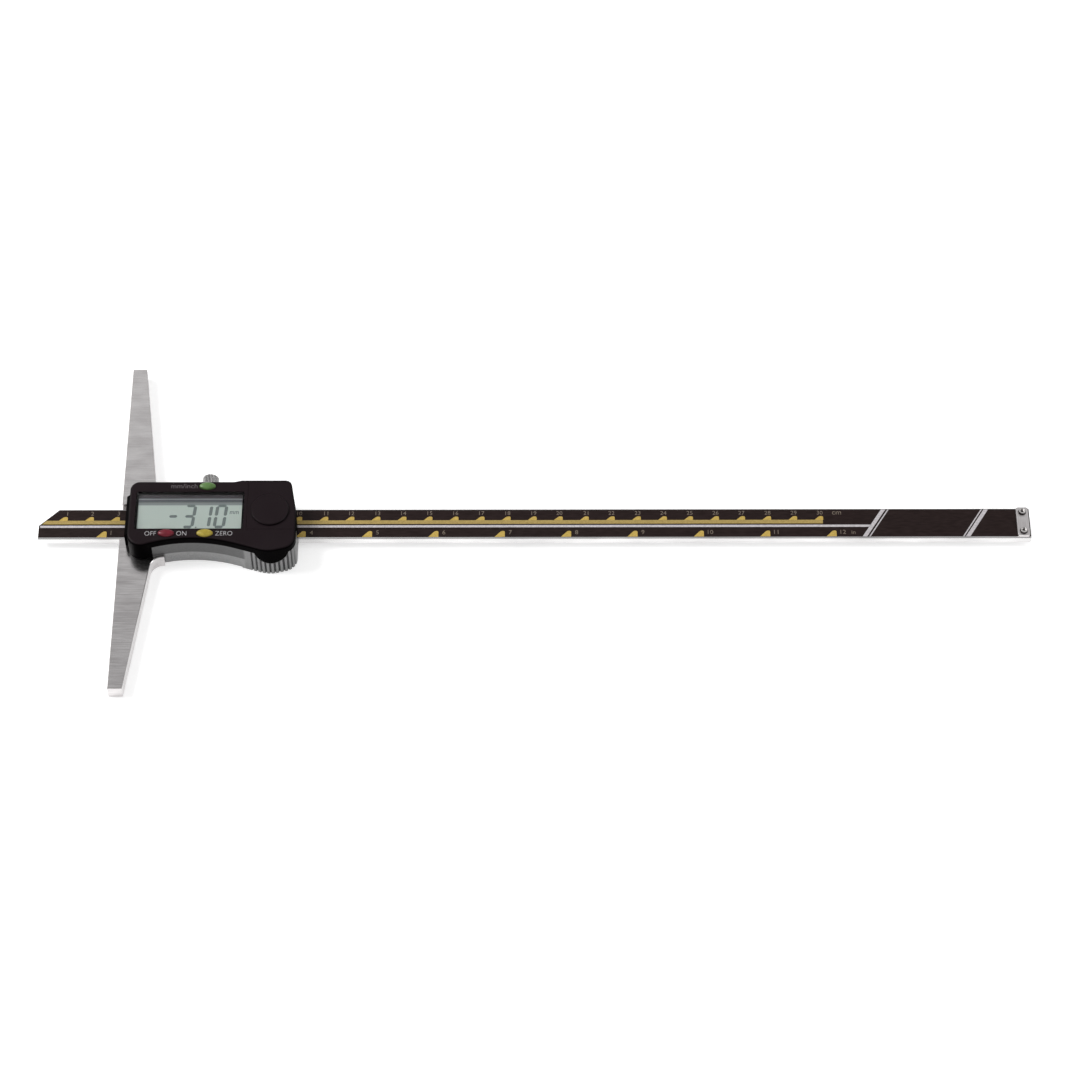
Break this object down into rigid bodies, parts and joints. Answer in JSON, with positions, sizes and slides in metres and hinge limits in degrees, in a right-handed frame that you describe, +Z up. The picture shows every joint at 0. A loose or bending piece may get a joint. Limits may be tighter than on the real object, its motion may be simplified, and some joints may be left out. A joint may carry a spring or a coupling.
{
  "type": "depth caliper",
  "caption": "Digital depth caliper with a flat measuring base, a black display slider with a ribbed thumb rest and a printed steel beam that slides through both.",
  "frame": {"origin": "on the measuring face of the base bar, in the middle of the beam's width, at the height of the surface that the slider lies on", "axes": "+X along the beam away from its measuring tip, +Y across it away from the finger rest, +Z up out of the display"},
  "size_m": [0.38, 0.15, 0.0165],
  "materials": {
    "ground_steel": "ground stainless steel",
    "satin_steel": "satin grey steel",
    "screw_steel": "turned and plated steel",
    "printed_strip": "satin black printed laminate",
    "black_plastic": "satin black moulding",
    "bronze": "spring bronze",
    "clear_lens": "clear acrylic",
    "lcd_glass": "grey-green display glass",
    "pink_rubber": "silicone rubber",
    "board_laminate": "green solder mask",
    "black_resin": "potting resin",
    "cell_steel": "bright nickel plate",
    "red_plastic": "red moulding",
    "yellow_plastic": "yellow moulding",
    "green_plastic": "green moulding"
  },
  "bodies": {
    "slider": {"slider_frame": "satin_steel", "base_bar": "ground_steel", "base_screws": "screw_steel", "back_plate": "satin_steel", "back_plate_screws": "screw_steel", "gib_strip": "bronze", "gib_set_screws": "screw_steel", "cover": "black_plastic", "cover_screws": "screw_steel", "display_lens": "clear_lens", "lcd_panel": "lcd_glass", "zebra_connectors": "pink_rubber", "main_board": "board_laminate", "reader_board": "board_laminate", "measuring_chip": "black_resin", "key_domes": "screw_steel", "battery": "cell_steel", "battery_contacts": "bronze"},
    "sliding_beam": {"beam": "ground_steel", "scale_strip": "printed_strip", "stop_plate": "ground_steel", "stop_plate_screws": "screw_steel"},
    "lock": {"lock_screw": "screw_steel"},
    "on_off_key": {"on_off_button": "red_plastic"},
    "zero_key": {"zero_button": "yellow_plastic"},
    "unit_key": {"unit_button": "green_plastic"},
    "door": {"battery_door": "black_plastic"}
  },
  "joints": [
    {"name": "beam_slide", "type": "slide", "parent": "slider", "child": "sliding_beam", "axis": [1, 0, 0], "range_m": [-0.2754, 0.0312]},
    {"name": "lock_screw_turn", "type": "hinge", "parent": "slider", "child": "lock", "pos_m": [0.0334, 0.0145, 0.0041], "axis": [0, -1, 0], "range_deg": [-270, 90]},
    {"name": "on_off_press", "type": "slide", "parent": "slider", "child": "on_off_key", "axis": [0, 0, -1], "range_m": [0, 0.0006], "stiffness_N_per_m": 1500, "springref_m": -0.0003},
    {"name": "zero_press", "type": "slide", "parent": "slider", "child": "zero_key", "axis": [0, 0, -1], "range_m": [0, 0.0006], "stiffness_N_per_m": 1500, "springref_m": -0.0003},
    {"name": "unit_press", "type": "slide", "parent": "slider", "child": "unit_key", "axis": [0, 0, -1], "range_m": [0, 0.0006], "stiffness_N_per_m": 1500, "springref_m": -0.0003},
    {"name": "battery_door_slide", "type": "slide", "parent": "slider", "child": "door", "axis": [1, 0, 0], "range_m": [0, 0.018]}
  ]
}
